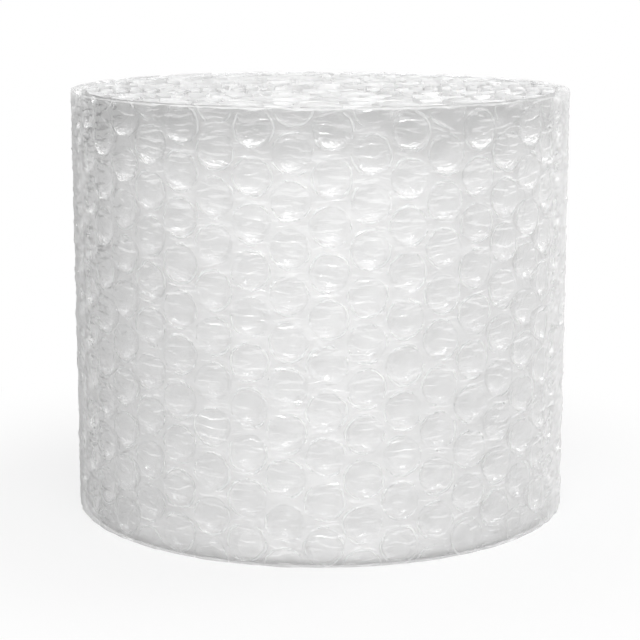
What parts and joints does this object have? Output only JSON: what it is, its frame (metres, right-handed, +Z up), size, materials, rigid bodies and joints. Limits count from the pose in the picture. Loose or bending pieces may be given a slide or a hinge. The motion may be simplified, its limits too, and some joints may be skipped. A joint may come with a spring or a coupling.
{
  "type": "bubble wrap roll",
  "caption": "Roll of clear bubble wrap standing on its end, wound from one long sheet with the flat film outside and the round bubbles facing in.",
  "frame": {"origin": "on the winding axis of the roll, in the plane of the end that it stands on", "axes": "+Z up along the winding axis; -Y towards the front; the sheet's loose end lies at the back, towards +Y"},
  "size_m": [0.362, 0.3642, 0.305],
  "materials": {
    "clear_film": "clear glossy polyethylene film that looks white in depth"
  },
  "bodies": {
    "root": {"bubble_wrap_roll": "clear_film"}
  },
  "joints": []
}
